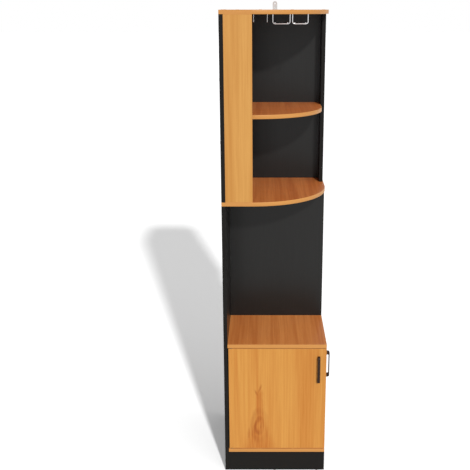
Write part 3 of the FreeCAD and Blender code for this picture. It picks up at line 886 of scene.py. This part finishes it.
# %% Stage: floor
FLOOR_HALF = 60.0
FLOOR_DROP = 0.2 * MM
FLOOR_PALE = (0.80, 0.80, 0.80, 1.0)
FLOOR_SHOWN = (1.55, 1.55, 1.55, 1.0)
FLOOR_OWN_WHITE = 0.10
WHITE = (1.0, 1.0, 1.0, 1.0)


def seen_directly(tree):
    rays = put(tree, "ShaderNodeLightPath").outputs
    seen = calc(tree, "MAXIMUM", rays["Is Camera Ray"], rays["Is Glossy Ray"])
    return calc(tree, "MAXIMUM", seen, rays["Is Transmission Ray"])


floor_finish = bpy.data.materials.new("studio_floor")
floor_finish.use_nodes = True
tree = floor_finish.node_tree
tree.nodes.clear()
pale = put(tree, "ShaderNodeBsdfDiffuse", {"Color": FLOOR_PALE}).outputs[0]
lit = put(tree, "ShaderNodeBsdfDiffuse", {"Color": FLOOR_SHOWN}).outputs[0]
own = put(tree, "ShaderNodeEmission", {"Color": WHITE, "Strength": FLOOR_OWN_WHITE}).outputs[0]
shown = put(tree, "ShaderNodeAddShader", {0: lit, 1: own}).outputs[0]
mixed = put(tree, "ShaderNodeMixShader", {0: seen_directly(tree), 1: pale, 2: shown}).outputs[0]
put(tree, "ShaderNodeOutputMaterial", {"Surface": mixed})
floor_finish.cycles.emission_sampling = "NONE"

shape = bmesh.new()
bmesh.ops.create_grid(shape, x_segments=1, y_segments=1, size=FLOOR_HALF)
bmesh.ops.translate(shape, vec=(0, 0, cad_low.z - FLOOR_DROP), verts=shape.verts)
floor_mesh = bpy.data.meshes.new("studio_floor")
shape.to_mesh(floor_mesh)
shape.free()
floor_mesh.materials.append(floor_finish)
floor = bpy.data.objects.new("studio_floor", floor_mesh)
bpy.context.scene.collection.objects.link(floor)
print("floor:", 2 * FLOOR_HALF, "m wide")

# %% [markdown]
# ## The sky
# The room around the cabinet is white to the camera and in mirrors, but it would flood the shelves if
# it lit them as strongly. So the sky gives only a soft, weak light, and shows as white.

# %% Stage: sky
SKY_LEVEL = 0.24
SKY_SHOWN = 1.0
world = bpy.data.worlds.new("studio_sky")
bpy.context.scene.world = world
world.use_nodes = True
tree = world.node_tree
tree.nodes.clear()
soft = put(tree, "ShaderNodeBackground", {"Color": WHITE, "Strength": SKY_LEVEL}).outputs[0]
white = put(tree, "ShaderNodeBackground", {"Color": WHITE, "Strength": SKY_SHOWN}).outputs[0]
mixed = put(tree, "ShaderNodeMixShader", {0: seen_directly(tree), 1: soft, 2: white}).outputs[0]
put(tree, "ShaderNodeOutputWorld", {"Surface": mixed})
print("sky: lights at", SKY_LEVEL, "and shows as", SKY_SHOWN)

# %% [markdown]
# ## Light
# One strong light stands far off at the front right, low enough to throw a long shadow to the back
# left. Its disc is three degrees wide, so the shadow's edge is a little soft. A weaker and much wider
# one, higher and further right, fills the shelves from above.
# Area lamps would do, but they fade with distance. Sun lamps don't, so the tall cabinet is lit evenly
# from top to bottom.

# %% Stage: key and fill light
def add_sun(name, azimuth, height, level, spread):
    lamp = bpy.data.objects.new(name, bpy.data.lights.new(name, "SUN"))
    lamp.data.energy = level * math.pi
    lamp.data.angle = math.radians(spread)
    flat = math.cos(math.radians(height))
    towards = Vector((
        math.sin(math.radians(azimuth)) * flat,
        -math.cos(math.radians(azimuth)) * flat,
        math.sin(math.radians(height)),
    ))
    lamp.rotation_euler = towards.to_track_quat("Z", "Y").to_euler()
    bpy.context.scene.collection.objects.link(lamp)
    print(name, "from", [round(part, 3) for part in towards])


add_sun("key_light", azimuth=14.6, height=28.2, level=0.75, spread=3)
add_sun("fill_light", azimuth=50, height=45, level=0.15, spread=60)

# %% [markdown]
# ## Camera
# The picture was taken from straight in front, from about the height of the cabinet's top, looking a
# little down. The cabinet stands right of the middle. Turning the camera would do that too, but it
# would slant the level edges of the front. A small sideways lens shift keeps them level.

# %% Camera
CAMERA_PLACE = (-0.05138, -2.95550, 1.80217)
LOOK_DOWN = math.radians(16.36)
LENS = 58.97
SHIFT_ASIDE = -0.06177
camera = bpy.data.objects.new("camera", bpy.data.cameras.new("camera"))
camera.location = CAMERA_PLACE
camera.rotation_euler = (math.pi / 2 - LOOK_DOWN, 0.0, 0.0)
camera.data.lens = LENS
camera.data.shift_x = SHIFT_ASIDE
camera.data.clip_end = 4 * FLOOR_HALF
bpy.context.scene.collection.objects.link(camera)
bpy.context.scene.camera = camera
bpy.context.scene.view_settings.view_transform = "Standard"
print("camera at", CAMERA_PLACE)
